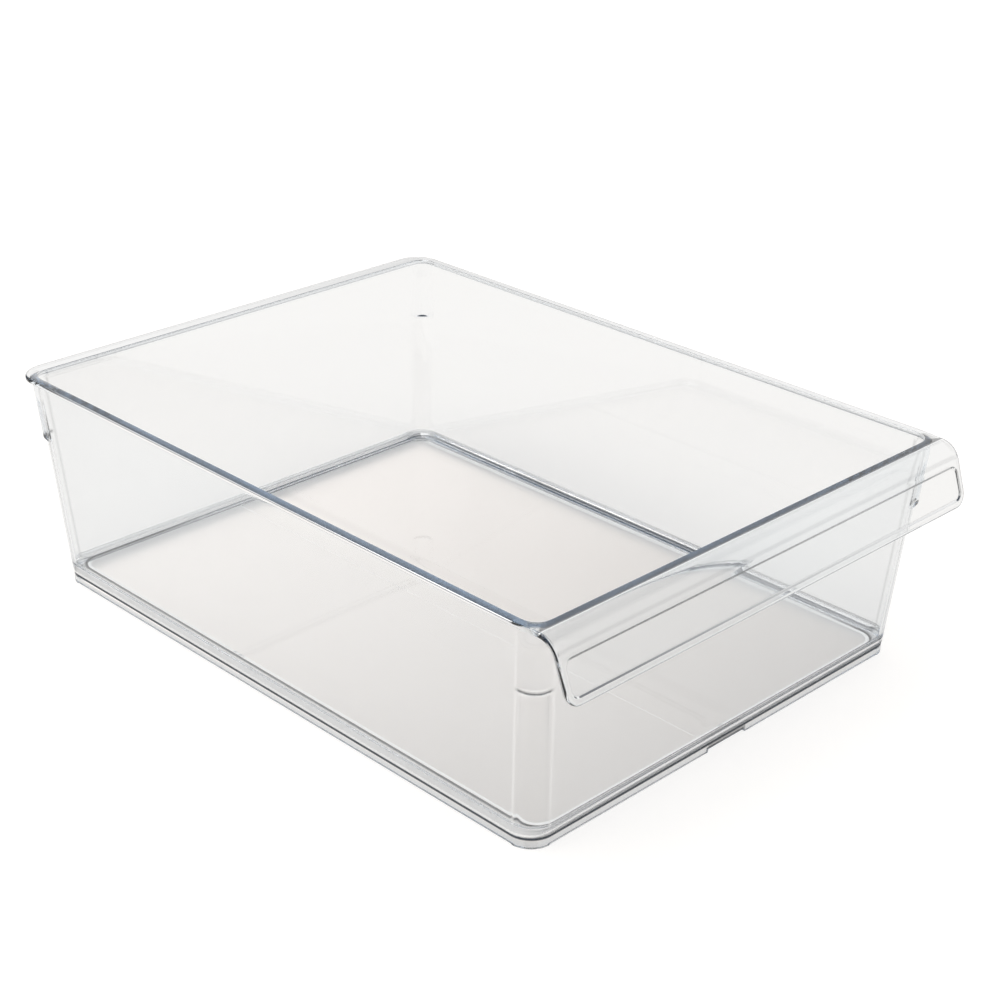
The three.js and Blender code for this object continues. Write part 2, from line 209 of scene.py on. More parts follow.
CORNERS = ((1, 1), (-1, 1), (-1, -1), (1, -1))  # sides of x and y, counterclockwise
CORNER_STEPS = 40
FRONT_STATIONS = (60.0, 30.0, 11.9, 11.5, 4.0, -4.0, -11.5, -11.9, -30.0, -60.0)
SIDE_STATIONS = (110.0, 60.0, 0.0, -60.0, -110.0)
ARC_BLEND = 0.09  # share of a corner in which the foot's relief fades
FLOOR_FILLET = 2.4 * MM  # between the floor's underside and the skirt
SKIRT_EDGE = 0.3 * MM
CREASE_ROUND = 0.75 * MM
RIM_FILLET = 0.9 * MM
SIDE_MARGIN = 0.1 * MM  # reach of a test for points on a line of stations
TOUCH = 0.01 * MM  # the same for points on a loop
FILLET_STEPS, EDGE_STEPS, CREASE_STEPS = 5, 3, 5
SKIRT_FROM = FILLET_STEPS + 2  # numbers of the outside's rings where its parts start
CREASE_FROM = FILLET_STEPS + 1 + 2 * (EDGE_STEPS + 1)
WALL_FROM = CREASE_FROM + CREASE_STEPS + 1
WALL_HEIGHTS = (7, 7.6, 8, 8.5, 9.2, 10, 40)  # in mm, from z = 0
TOP_HEIGHTS = (96.6, 97.2)
SHELF_SHARES = (0, 0.1, 0.2, 0.32, 0.45, 0.6, 0.78, 0.88, 0.94, 1)
BELOW_SHELF, ABOVE_SHELF = (6, 0.5), (0.5, 1.2, 1.8, 6)  # in mm, from the shelf's ends
SHELF_CURVE = ((0.2, 0.07), (0.45, 0.32), (0.94, 0.985))  # how the shelf swells out
INNER_HEIGHTS = ((97, 0), (94, 0.5), (90, 1), (60, 1), (30, 1), (16, 1))  # with the ridges' share
COVE_TURN, COVE_STEPS = math.radians(54), 8
RIDGE_AT, RIDGE_WIDTH = 0.1, 0.09  # shares of a corner
INNER_SWELL = 0.5  # share of the lugs at the mouth
INNER_SWELL_FADE = (97 * MM, 6 * MM)  # height where it grows from, and over how much
PLATE_SIDE = (-90, 0, 90, 130)  # in mm, stations of the rim's outline
PLATE_FRONT = (90, 60, 30, 0, -30, -60, -90)
PLATE_BACK = (-90, -45, 0, 45, 90)
LIP_LINES = (-100, -75, -50, -25, 0, 25, 50, 75, 100)
FLOOR_INSETS = (0.8, 1.1, 1.5, 2.3, 2.7)  # in mm, loops beside the floor's edge
BAND_END_GAP, BAND_RADIUS = 6 * MM, 2 * MM  # of the shallow band in the floor
BAND_EDGE, BAND_SLOPE = 0.1 * MM, math.radians(55)
CHUNK = 2000  # points that are measured at a time


class Dark:
    """How dark the painted shade lines along creases and edges are, from 0 to 1."""
    PANEL_TOP, PANEL_RIGHT, PANEL_FOOT = 0.8, 0.6, 0.22
    BEND, RIM_TOP, RIM_UNDER = 0.9, 0.8, 0.9
    MOUTH_FRONT, MOUTH_LEFT = 0.7, 0.2
    FLOOR_BAND = 0.3
    SKIRT, SKIRT_FRONT, NOTCH = 0.06, 0.15, 0.8
    LEDGE, ABOVE_FOOT_LINE, CORNER = 0.5, 0.9, 0.4


class Bright:
    """How strong the painted highlight lines beside them are, as mirror-like strips that reflect
    the studio, from 0 to 1.
    """
    LIP_END_TOP, LIP_END_UNDER, LIP_EDGE = 0.3, 0.8, 0.5
    PANEL, BEND, RIM_EDGE = 0.85, 0.9, 0.9
    FLOOR_EDGE, FLOOR_FAR_EDGE, FLOOR_BAND = 0.8, 0.5, 0.6
    FOOT_GLOW, SHELF, ABOVE_SHELF, CORNER = 0.55, 0.9, 0.9, 0.45
    FAR_COVE, FAR_MOUTH = 0.25, 0.5


class Place:
    """Where the painted shade and highlight lines run, from the edge, crease or height that they
    follow.
    """
    RIM_STRIP, RIM_DARK, RIM_BRIGHT = 1.5 * MM, 0.6 * MM, 0.45 * MM
    UNDER_RIM_DARK, UNDER_RIM_BRIGHT = (0.3 * MM, 0.8 * MM), 0.1 * MM
    LIP, LIP_END, PANEL_SIDE = 1 * MM, 5 * MM, 0.5 * MM
    FLOOR_DARK, FLOOR_BRIGHT = 0.9 * MM, (1.4 * MM, 2.4 * MM)
    LEDGE, GLOW_TOP, MATT_STRIP = (0, 2 * MM), 5 * MM, (0.6 * MM, 4.2 * MM)
    ABOVE_FOOT, ABOVE_FOOT_REACH = 4 * MM, 0.2 * MM
    CORNER_HEIGHTS = (6 * MM, 98 * MM)
    # Middle and width of soft painted lines, beside the shelf of a lug and the end of a corner
    SHELF_BRIGHT, SHELF_DARK = (0.6 * MM, 0.5 * MM), (-0.2 * MM, 0.75 * MM)
    ABOVE_SHELF, CORNER = (1.2 * MM, 0.3 * MM), (0.07, 0.04)
    # Shares of the half width and half depth from which a side counts
    FAR, LEFT, FRONT = 0.9, 0.5, 0.8


def smooth(share):
    """Eases a share between 0 and 1 at both ends."""
    return share * share * (3 - 2 * share)


def hump(values, centre, width):
    """1 at the centre, with a soft fall to both sides."""
    return np.exp(-((values - centre) / width) ** 2)


def within(values, low, high):
    return (values > low) & (values < high)


class Ring:
    """A rounded rectangle seen from above, always with the same stations in the same order."""

    def __init__(self, half_x, half_y, radius, middle_y):
        points, turns, outward = [], [], []
        for quarter, (side_x, side_y) in enumerate(CORNERS):
            for step in range(CORNER_STEPS + 1):
                share = step / CORNER_STEPS
                turn = (quarter + share) * math.pi / 2
                points.append((side_x * (half_x - radius) + radius * math.cos(turn),
                               side_y * (half_y - radius) + radius * math.sin(turn)))
                turns.append(share)
                outward.append((math.cos(turn), math.sin(turn), 0.0))
            if side_x == side_y:
                straight = [(side_x * x * MM, side_y * half_y) for x in FRONT_STATIONS]
            else:
                straight = [(side_x * half_x, side_y * y * MM) for y in SIDE_STATIONS]
            points += straight
            turns += [-1.0] * len(straight)
            outward += [(0.0, 0.0, 0.0)] * len(straight)
        self.points = np.array(points) + [0.0, middle_y]
        self.turns = np.array(turns)
        self.outward = np.array(outward)

    def at(self, z):
        heights = np.broadcast_to(np.asarray(z, dtype=float), (len(self.points),))
        return np.column_stack([self.points, heights])


ANY_RING = Ring(1, 1, 0.1, 0)
TURNS = ANY_RING.turns  # share of its corner that a station has passed, or -1 on a straight
OUTWARD = ANY_RING.outward  # the way out at a corner's stations, and nothing on a straight
FROM_END = np.where(TURNS < 0, 0.0, np.minimum(TURNS, 1 - TURNS))


def quarter_arc(steps):
    return [step / steps * math.pi / 2 for step in range(steps + 1)]


class Shell:
    """Collects the rings of the foot, floor and walls, and joins them with faces."""

    def __init__(self):
        self.vertices = []
        self.faces = []
        self.shade = []
        self.light = []

    def add(self, points, shade=0.0, light=0.0):
        first = len(self.vertices)
        self.vertices.extend(map(tuple, points))
        self.shade.extend(np.broadcast_to(shade, (len(points),)))
        self.light.extend(np.broadcast_to(light, (len(points),)))
        return list(range(first, first + len(points)))

    def band(self, lower, upper):
        count = len(lower)
        for i in range(count):
            j = (i + 1) % count
            self.faces.append((lower[i], lower[j], upper[j], upper[i]))

    def stack(self, rings):
        ids = [self.add(ring) for ring in rings]
        for lower, upper in zip(ids, ids[1:]):
            self.band(lower, upper)
        return ids[0], ids[-1]


def wall_ring(sizes, z, offset=0.0, draw_side=0.0, draw_end=0.0):
    """The wall's outline at a height, moved out by an offset."""
    lean = sizes.lean * (z - sizes.foot_height) / (sizes.height - sizes.foot_height)
    return Ring(sizes.half_width + lean + offset - draw_side,
                sizes.half_depth + lean + offset - draw_end,
                sizes.corner_radius + offset, sizes.middle_y)


def foot_bottom(sizes, ring):
    """The foot's lowest surface: corner arcs stand, straights are relieved, and one has a notch."""
    blend = smooth(np.clip(FROM_END / ARC_BLEND, 0, 1))
    bottom = sizes.foot_relief * (1 - blend)
    front = ring.points[:, 1] < sizes.middle_y - sizes.half_depth / 2
    notch = front & (np.abs(ring.points[:, 0]) < sizes.notch_half_width + SIDE_MARGIN)
    return np.where(notch, sizes.notch_height, bottom)


def foot_rings(sizes):
    """From the floor's underside down inside the skirt, round its edge and up to the crease."""
    outer = -sizes.foot_inset
    inner = outer - sizes.foot_wall

    def ring_at(offset):
        return Ring(sizes.half_width + offset, sizes.half_depth + offset,
                    sizes.corner_radius + offset, sizes.middle_y)

    rings = []
    for turn in quarter_arc(FILLET_STEPS):
        ring = ring_at(inner - FLOOR_FILLET * (1 - math.sin(turn)))
        rings.append(ring.at(sizes.foot_height - FLOOR_FILLET * (1 - math.cos(turn))))
    for turn in quarter_arc(EDGE_STEPS):
        ring = ring_at(inner + SKIRT_EDGE * (1 - math.cos(turn)))
        rings.append(ring.at(foot_bottom(sizes, ring) + SKIRT_EDGE * (1 - math.sin(turn))))
    for turn in quarter_arc(EDGE_STEPS):
        ring = ring_at(outer - SKIRT_EDGE * (1 - math.sin(turn)))
        rings.append(ring.at(foot_bottom(sizes, ring) + SKIRT_EDGE * (1 - math.cos(turn))))
    shoulder = sizes.groove_depth - sizes.foot_inset
    for turn in quarter_arc(CREASE_STEPS):
        ring = ring_at(outer - shoulder * (1 - math.cos(turn)))
        rings.append(ring.at(sizes.foot_height - CREASE_ROUND * (1 - math.sin(turn))))
    return rings


def wall_rings(sizes, lugs):
    """The outer wall: a rounded lower edge, then straight up to the fillet under the rim."""
    rings = []
    top_of_edge = sizes.foot_height + sizes.groove_rise
    for turn in quarter_arc(7)[1:]:
        z = top_of_edge - sizes.groove_rise * math.cos(turn)
        lean = sizes.lean * (top_of_edge - z) / (sizes.height - sizes.foot_height)
        draw = lean - (sizes.groove_depth + lean) * (1 - math.sin(turn))
        rings.append(wall_ring(sizes, z, draw).at(z))
    heights = [z * MM for z in WALL_HEIGHTS]
    heights += [lugs.low - drop * MM for drop in BELOW_SHELF]
    heights += [lugs.low + (lugs.high - lugs.low) * share for share in SHELF_SHARES]
    heights += [lugs.high + rise * MM for rise in ABOVE_SHELF]
    heights += [z * MM for z in TOP_HEIGHTS]
    for z in heights:
        rings.append(wall_ring(sizes, z).at(z))
    rim_underside = sizes.height - sizes.plate
    for turn in quarter_arc(4):
        z = rim_underside - RIM_FILLET * (1 - math.sin(turn))
        rings.append(wall_ring(sizes, z, RIM_FILLET * (1 - math.cos(turn))).at(z))
    return rings


def cavity_rings(sizes, rim):
    """The inner side: the mouth's rounding, the inner wall, the cove and the floor's edge."""
    rings = []
    for turn in quarter_arc(5):
        z = sizes.height - rim.mouth_round * (1 - math.cos(turn))
        inset = rim.mouth_round * (1 - math.sin(turn)) - sizes.wall
        rings.append(wall_ring(sizes, z, inset).at(z))
    for height, share in INNER_HEIGHTS:
        ring = wall_ring(sizes, height * MM, -sizes.wall)
        rings.append(with_ridges(ring, sizes.corner_ridge * share, height * MM))
    floor_top = sizes.foot_height + sizes.plate
    for step in range(COVE_STEPS + 1):
        turn = COVE_TURN * step / COVE_STEPS
        z = floor_top + sizes.cove_height * (1 - math.sin(turn) / math.sin(COVE_TURN))
        draw = (1 - math.cos(turn)) / (1 - math.cos(COVE_TURN))
        ring = wall_ring(sizes, z, -sizes.wall, sizes.cove_side * draw, sizes.cove_end * draw)
        rings.append(with_ridges(ring, sizes.corner_ridge * (1 - draw), z))
    return rings


def with_ridges(ring, height, z):
    """An inner wall ring with a soft ridge at each end of its corners."""
    return ring.at(z) - OUTWARD * (height * hump(FROM_END, RIDGE_AT, RIDGE_WIDTH))[:, None]


def lug_directions(sizes, lugs):
    """How far each station moves out in full: squarer corners, and nothing on the straights."""
    shift = sizes.corner_radius - lugs.radius
    turn = np.maximum(TURNS, 0) * math.pi / 2
    c, s = np.cos(turn), np.sin(turn)
    flat = sizes.corner_radius / np.maximum(c, s)
    inside_root = (shift * (c + s)) ** 2 - (2 * shift ** 2 - lugs.radius ** 2)
    curve = shift * (c + s) + np.sqrt(np.maximum(inside_root, 0.0))
    on_curve = np.minimum(curve * c, curve * s) >= shift
    return OUTWARD * (np.where(on_curve, curve, flat) - sizes.corner_radius)[:, None]


# Objects and node trees

def add_object(name, data):
    """A new object in the scene."""
    added = bpy.data.objects.new(name, data)
    bpy.context.scene.collection.objects.link(added)
    return added


def add_node(tree, kind, values=None, **settings):
    """A new node with its settings, and with values for its sockets by name or number."""
    node = tree.nodes.new(kind)
    for name, setting in settings.items():
        setattr(node, name, setting)
    for socket, value in (values or {}).items():
        node.inputs[socket].default_value = value
    return node


def connect(tree, *links):
    """Makes links, each given as a node, its output, the next node and its input."""
    for source, output, target, socket in links:
        tree.links.new(source.outputs[output], target.inputs[socket])


def lug_tree():
    """Moves the wall out above a sloped shelf, by the same rule at all four corners."""
    tree = bpy.data.node_groups.new("Corner Lugs", "GeometryNodeTree")
    face = tree.interface
    face.new_socket("Wall", in_out="INPUT", socket_type="NodeSocketGeometry")
    for name in ("Shelf Low", "Shelf High"):
        socket = face.new_socket(name, in_out="INPUT", socket_type="NodeSocketFloat")
        socket.subtype = "DISTANCE"
    face.new_socket("Plastic", in_out="INPUT", socket_type="NodeSocketMaterial")
    face.new_socket("Wall", in_out="OUTPUT", socket_type="NodeSocketGeometry")
    given = add_node(tree, "NodeGroupInput")
    result = add_node(tree, "NodeGroupOutput")
    position = add_node(tree, "GeometryNodeInputPosition")
    split = add_node(tree, "ShaderNodeSeparateXYZ")
    ramp = add_node(tree, "ShaderNodeMapRange")
    profile = add_node(tree, "ShaderNodeFloatCurve")
    curve = profile.mapping.curves[0]
    curve.points[0].location = (0, 0)
    curve.points[1].location = (1, 1)
    for at, share in SHELF_CURVE:
        curve.points.new(at, share)
    profile.mapping.update()
    swell = add_node(tree, "GeometryNodeInputNamedAttribute", {"Name": "lug_swell"},
                     data_type="FLOAT_VECTOR")
    scale = add_node(tree, "ShaderNodeVectorMath", operation="SCALE")
    move = add_node(tree, "GeometryNodeSetPosition")
    realize = add_node(tree, "GeometryNodeRealizeInstances")
    finish = add_node(tree, "GeometryNodeSetMaterial")
    connect(tree,
            (position, "Position", split, "Vector"),
            (split, "Z", ramp, "Value"),
            (given, "Shelf Low", ramp, "From Min"),
            (given, "Shelf High", ramp, "From Max"),
            (ramp, "Result", profile, "Value"),
            (swell, "Attribute", scale, "Vector"),
            (profile, "Value", scale, "Scale"),
            (given, "Wall", move, "Geometry"),
            (scale, "Vector", move, "Offset"),
            (move, "Geometry", realize, "Geometry"),
            (realize, "Geometry", finish, "Geometry"),
            (given, "Plastic", finish, "Material"),
            (finish, "Geometry", result, "Wall"))
    return tree


def socket_id(tree, name):
    for item in tree.interface.items_tree:
        if item.item_type == "SOCKET" and item.in_out == "INPUT" and item.name == name:
            return item.identifier
    raise KeyError(name)


def with_lugs(shell, moves_per_vertex, lugs, plastic):
    """Runs the lug tree on the shell and returns the moved points, in the same order."""
    mesh = bpy.data.meshes.new("shell_with_lugs")
    mesh.from_pydata(shell.vertices, [], shell.faces)
    swell = mesh.attributes.new("lug_swell", "FLOAT_VECTOR", "POINT")
    swell.data.foreach_set("vector", np.asarray(moves_per_vertex, dtype=np.float32).ravel())
    rough = add_object("shell_with_lugs", mesh)
    tree = lug_tree()
    modifier = rough.modifiers.new("Corner Lugs", "NODES")
    modifier.node_group = tree
    modifier[socket_id(tree, "Shelf Low")] = lugs.low
    modifier[socket_id(tree, "Shelf High")] = lugs.high
    modifier[socket_id(tree, "Plastic")] = plastic
    depsgraph = bpy.context.evaluated_depsgraph_get()
    moved = bpy.data.meshes.new_from_object(rough.evaluated_get(depsgraph))
    points = np.empty(len(moved.vertices) * 3)
    moved.vertices.foreach_get("co", points)
    bpy.data.objects.remove(rough)
    bpy.data.meshes.remove(moved)
    return points.reshape(-1, 3)


# The rim and the lip are one plate. It is drawn flat, as across and along, and then bent to shape.

def bend_end(rim):
    """Distance along the plate from the walls' middle to where the lip's bend ends."""
    return rim.bend_start + rim.bend_radius * (math.pi / 2 - rim.lean)


def bend_stations(rim):
    return rim.bend_start + (bend_end(rim) - rim.bend_start) * np.linspace(0, 1, 21)


def run_profile(rim, along):
    """Place and outward direction on the plate's upper face, for a distance along it."""
    along = np.asarray(along, dtype=float)
    turn = np.clip((along - rim.bend_start) / rim.bend_radius, 0, math.pi / 2 - rim.lean)
    past = np.maximum(along - bend_end(rim), 0)
    forward = (np.minimum(along, rim.bend_start) + rim.bend_radius * np.sin(turn)
               + past * math.sin(rim.lean))
    drop = rim.bend_radius * (1 - np.cos(turn)) + past * math.cos(rim.lean)
    return forward, drop, np.sin(turn), np.cos(turn)


def plate_points(sizes, rim, flat, depth):
    """Bends flat points to shape, at a depth under the upper face."""
    forward, drop, out, up = run_profile(rim, flat[:, 1])
    y = sizes.middle_y - forward + out * depth
    z = sizes.height - drop - up * depth
    return np.column_stack([flat[:, 0], y, z])


def arc_points(centre, radius, start, end, steps):
    turns = [start + (end - start) * i / steps for i in range(steps + 1)]
    return [(centre[0] + radius * math.cos(turn), centre[1] + radius * math.sin(turn))
            for turn in turns]


def plate_outline(rim):
    """The plate's free edge, drawn flat: across, and along towards the handle. Counterclockwise."""
    low = bend_end(rim) + rim.face_length
    half, back, r = rim.half_width, -rim.half_depth, rim.corner_radius
    inset = half - rim.end_inset
    bottom = inset - rim.side_taper
    right = [(half, along * MM) for along in PLATE_SIDE]
    flush_steps = 10
    for i in range(flush_steps + 1):
        share = i / flush_steps
        along = rim.flush_until + (rim.bend_start - rim.flush_until) * share
        right.append((half - rim.end_inset * smooth(share), along))
    corner_top = low - rim.lower_radius
    for along in [*bend_stations(rim)[1:], (bend_end(rim) + corner_top) / 2]:
        share = (along - rim.bend_start) / (corner_top - rim.bend_start)
        right.append((inset - rim.side_taper * share, along))
    lower_centre = (bottom - rim.lower_radius, corner_top)
    right += arc_points(lower_centre, rim.lower_radius, 0, math.pi / 2, 18)
    points = arc_points((half - r, back + r), r, -math.pi / 2, 0, 20) + right
    points += [(x * MM, low) for x in PLATE_FRONT]
    points += [(-x, along) for x, along in reversed(right)]
    points += arc_points((-half + r, back + r), r, math.pi, math.pi * 3 / 2, 20)
    points += [(x * MM, back) for x in PLATE_BACK]
    return np.array(points)


def moved_in(outline, distance):
    """A closed outline moved inwards by a small distance."""
    ahead = np.roll(outline, -1, axis=0) - outline
    behind = outline - np.roll(outline, 1, axis=0)
    ahead /= np.linalg.norm(ahead, axis=1)[:, None]
    behind /= np.linalg.norm(behind, axis=1)[:, None]
    normal_ahead = np.column_stack([-ahead[:, 1], ahead[:, 0]])
    normal_behind = np.column_stack([-behind[:, 1], behind[:, 0]])
    middle = normal_ahead + normal_behind
    middle /= np.linalg.norm(middle, axis=1)[:, None]
    sharpest = 0.5
    stretch = 1 / np.maximum((middle * normal_ahead).sum(axis=1), sharpest)
    return outline + middle * (distance * stretch)[:, None]


def distance_to(outline, points):
    """Least distance from each point to a closed outline."""
    run = np.roll(outline, -1, axis=0) - outline
    lengths = (run ** 2).sum(axis=1)
    best = np.full(len(points), np.inf)
    for start in range(0, len(points), CHUNK):
        p = points[start:start + CHUNK, None, :]
        share = np.clip(((p - outline) * run).sum(axis=2) / lengths, 0, 1)
        nearest = outline + share[..., None] * run
        best[start:start + CHUNK] = np.sqrt(((p - nearest) ** 2).sum(axis=2).min(axis=1))
    return best


def inside(outline, points):
    """Which points lie inside a closed outline, by how often a line to the right crosses it."""
    a, b = outline, np.roll(outline, -1, axis=0)
    rise = np.where(b[:, 1] == a[:, 1], 1e-12, b[:, 1] - a[:, 1])
    result = np.zeros(len(points), dtype=bool)
    for start in range(0, len(points), CHUNK):
        p = points[start:start + CHUNK, None, :]
        crosses = (a[:, 1] > p[..., 1]) != (b[:, 1] > p[..., 1])
        x = a[:, 0] + (p[..., 1] - a[:, 1]) * (b[:, 0] - a[:, 0]) / rise
        result[start:start + CHUNK] = (crosses & (p[..., 0] < x)).sum(axis=1) % 2 == 1
    return result


def rounded_loop(half_x, half_y, radius, centre, grow, steps, straights=1):
    """A rounded rectangle grown or shrunk, for the panel and the floor band."""
    least_radius = 0.2 * MM
    hx, hy, r = half_x + grow, half_y + grow, max(radius + grow, least_radius)
    points = []
    for quarter, (sx, sy) in enumerate(CORNERS):
        start = quarter * math.pi / 2
        points += arc_points((centre[0] + sx * (hx - r), centre[1] + sy * (hy - r)),
                             r, start, start + math.pi / 2, steps)
        if quarter in (0, 2):
            points += [(centre[0] + sx * (hx - r) * (1 - 2 * i / straights), centre[1] + sy * hy)
                       for i in range(1, straights)]
    return np.array(points)


def rounded_distance(half_x, half_y, radius, centre, points):
    """Signed distance to a rounded rectangle, negative inside."""
    q = np.abs(points - centre) - (np.array([half_x, half_y]) - radius)
    outside = np.linalg.norm(np.maximum(q, 0), axis=1)
    return outside + np.minimum(q.max(axis=1), 0) - radius


def dish_profile(depth, radius, slope, steps=5):
    """Distances to a recess's outline and depths there: a rounded edge, a slope, a rounded foot."""
    run, drop = radius * math.sin(slope), radius * (1 - math.cos(slope))
    reach = run + (depth - 2 * drop) / math.tan(slope) / 2
    turns = [slope * i / steps for i in range(steps + 1)]
    upper = [(reach - radius * math.sin(turn), radius * (1 - math.cos(turn))) for turn in turns]
    lower = [(-at, depth - down) for at, down in reversed(upper)]
    return upper + lower


def dish_depth(distance, profile):
    """Depth of the recess at a distance from its outline, negative inside."""
    at, down = zip(*reversed(profile))
    return np.interp(distance, at, down)


class Sheet:
    """A flat region cut into triangles along given loops and lines."""

    def __init__(self):
        self.points, self.ids, self.edges = [], [], []

    def loop(self, points, ids=None):
        first, count = len(self.points), len(points)
        self.points.extend(map(tuple, points))
        self.ids.extend(ids if ids is not None else [-1] * count)
        self.edges.extend((first + i, first + (i + 1) % count) for i in range(count))
        return first

    def line(self, start, end):
        first = len(self.points)
        self.points.extend([tuple(start), tuple(end)])
        self.ids.extend([-1, -1])
        self.edges.append((first, first + 1))

    def link(self, start_index, end_index):
        self.edges.append((start_index, end_index))

    def cut(self, outer, holes=()):
        """Points, triangles and the shell's ids of the points that it already has."""
        scale, tolerance = 1000.0, 1e-4
        flat = [Vector((x * scale, y * scale)) for x, y in self.points]
        verts, _, faces, originals, _, _ = delaunay_2d_cdt(flat, self.edges, [], 0, tolerance)
        coords = np.array([(v[0] / scale, v[1] / scale) for v in verts])
        triangles = np.array(list(faces))
        centres = coords[triangles].mean(axis=1)
        keep = inside(outer, centres)
        for hole in holes:
            keep &= ~inside(hole, centres)
        ids = np.full(len(coords), -1)
        for i, group in enumerate(originals):
            known = [self.ids[k] for k in group if k < len(self.ids) and self.ids[k] >= 0]
            if known:
                ids[i] = known[0]
        return coords, triangles[keep], ids


def close_sheet(shell, cut, place, darken, brighten):
    """Adds a cut sheet to the shell. Points with an id are already there."""
    coords, triangles, ids = cut
    new = [i for i in np.unique(triangles) if ids[i] < 0]
    ids[new] = shell.add(place(coords[new]), darken(coords[new]), brighten(coords[new]))
    shell.faces.extend(tuple(int(ids[k]) for k in triangle) for triangle in triangles)


def add_plate(shell, sizes, rim, under_ids, mouth_ids):
    """The rim and the lip between the wall's top and the mouth's edge."""
    outline = plate_outline(rim)
    round_ = rim.edge_round
    insets = [round_ * (1 - math.cos(turn)) for turn in quarter_arc(5)[1:]]
    stations = bend_stations(rim)
    panel_low = bend_end(rim) + rim.panel_margin
    panel_centre = np.array([0.0, panel_low + rim.panel_height / 2])
    panel = (rim.panel_half_width, rim.panel_height / 2, rim.panel_radius, panel_centre)
    dish = dish_profile(rim.panel_depth, rim.panel_edge, rim.panel_slope)
    slope_reach = dish[0][0]
    guard = slope_reach + 0.2 * MM

    def left_side(points):
        on_left = points[:, 0] < Place.RIM_STRIP - rim.half_width
        return on_left & (np.abs(points[:, 1]) < rim.flush_until)

    lip_end = (outline[:, 0] < 0) & (outline[:, 1] > rim.bend_start + Place.LIP_END)
    upper_edge, lower_edge = (
        shell.add(plate_points(sizes, rim, outline, depth), 0.0,
                  np.where(lip_end, end_light, left_side(outline)))
        for depth, end_light in ((round_, Bright.LIP_END_TOP),
                                 (sizes.plate - round_, Bright.LIP_END_UNDER)))
    shell.band(lower_edge, upper_edge)
    vertices = np.array(shell.vertices)

    def flat_loop(ids):
        return np.column_stack([vertices[ids, 0], sizes.middle_y - vertices[ids, 1]])

    def edge_drop(points):
        near = np.minimum(distance_to(outline, points), round_)
        return round_ - np.sqrt(np.maximum(round_ ** 2 - (round_ - near) ** 2, 0))

    def start_sheet(edge_ids):
        sheet = Sheet()
        first = sheet.loop(outline, edge_ids)
        for inset in insets:
            sheet.loop(moved_in(outline, inset))
        return sheet, first

    def bend_lines(sheet, first):
        for along in stations:
            matches = [i for i, p in enumerate(outline) if abs(p[1] - along) < 1e-9]
            if len(matches) == 2:
                sheet.link(first + matches[0], first + matches[1])
        for x in LIP_LINES:
            sheet.line((x * MM, rim.bend_start),
                       (x * MM, bend_end(rim) + rim.face_length - 1.2 * round_))

    def panel_parts(points):
        """Distance to the panel's outline, and what lies on its slope, its top and its right."""
        distance = rounded_distance(*panel, points)
        upper = points[:, 1] < panel_low + Place.PANEL_SIDE
        right = points[:, 0] > rim.panel_half_width - Place.PANEL_SIDE
        return distance, np.abs(distance) < slope_reach + TOUCH, upper, right

    def top_points(points):
        depth = edge_drop(points) + dish_depth(rounded_distance(*panel, points), dish)
        return plate_points(sizes, rim, points, depth)

    # Painted shade along the panel's edges, the lip's bend and the left rim's top.
    def top_dark(points):
        distance, slope, upper, right = panel_parts(points)
        bend = np.abs(points[:, 1] - rim.bend_start) < SIDE_MARGIN
        rim_top = left_side(points) & (distance_to(outline, points) > Place.RIM_DARK)
        foot = within(distance, -guard - TOUCH, -slope_reach - TOUCH) & ~upper
        return np.maximum.reduce([
            Dark.PANEL_TOP * (slope & upper), Dark.PANEL_RIGHT * (slope & right & ~upper),
            Dark.PANEL_FOOT * foot, Dark.BEND * bend, Dark.RIM_TOP * rim_top])

    # Painted highlights along the panel's lower edge, the lip's edges, the bend and the left rim's
    # edge.
    def top_bright(points):
        _, slope, upper, right = panel_parts(points)
        from_edge = distance_to(outline, points)
        lip = points[:, 1] > rim.bend_start + Place.LIP
        lip_edge = lip & (np.abs(from_edge - round_) < 2 * TOUCH)
        bend = np.abs(points[:, 1] - stations[1]) < SIDE_MARGIN
        rim_edge = left_side(points) & (from_edge < Place.RIM_BRIGHT)
        return np.maximum.reduce([
            Bright.PANEL * (slope & ~upper & ~right), Bright.LIP_EDGE * lip_edge,
            Bright.BEND * bend, Bright.RIM_EDGE * rim_edge])

    top, first = start_sheet(upper_edge)
    top.loop(moved_in(outline, round_ + 0.4 * MM))
    bend_lines(top, first)
    for grow in (guard, *(at for at, _ in dish), -guard, -guard - 0.4 * MM):
        top.loop(rounded_loop(*panel, grow, 10, 28))
    mouth = flat_loop(mouth_ids)
    top.loop(mouth, mouth_ids)
    close_sheet(shell, top.cut(outline, [mouth]), top_points, top_dark, top_bright)

    def under_points(points):
        return plate_points(sizes, rim, points, sizes.plate - edge_drop(points))

    # Painted shade line along the left rim's underside.
    def under_dark(points):
        line = within(distance_to(outline, points), *Place.UNDER_RIM_DARK)
        return Dark.RIM_UNDER * (left_side(points) & line)

    # Painted highlight along the left rim's underside edge.
    def under_bright(points):
        line = distance_to(outline, points) < Place.UNDER_RIM_BRIGHT
        return Bright.RIM_EDGE * (left_side(points) & line)

    under, first = start_sheet(lower_edge)
    bend_lines(under, first)
    wall_top = flat_loop(under_ids)
    under.loop(wall_top, under_ids)
    close_sheet(shell, under.cut(outline, [wall_top]), under_points, under_dark, under_bright)


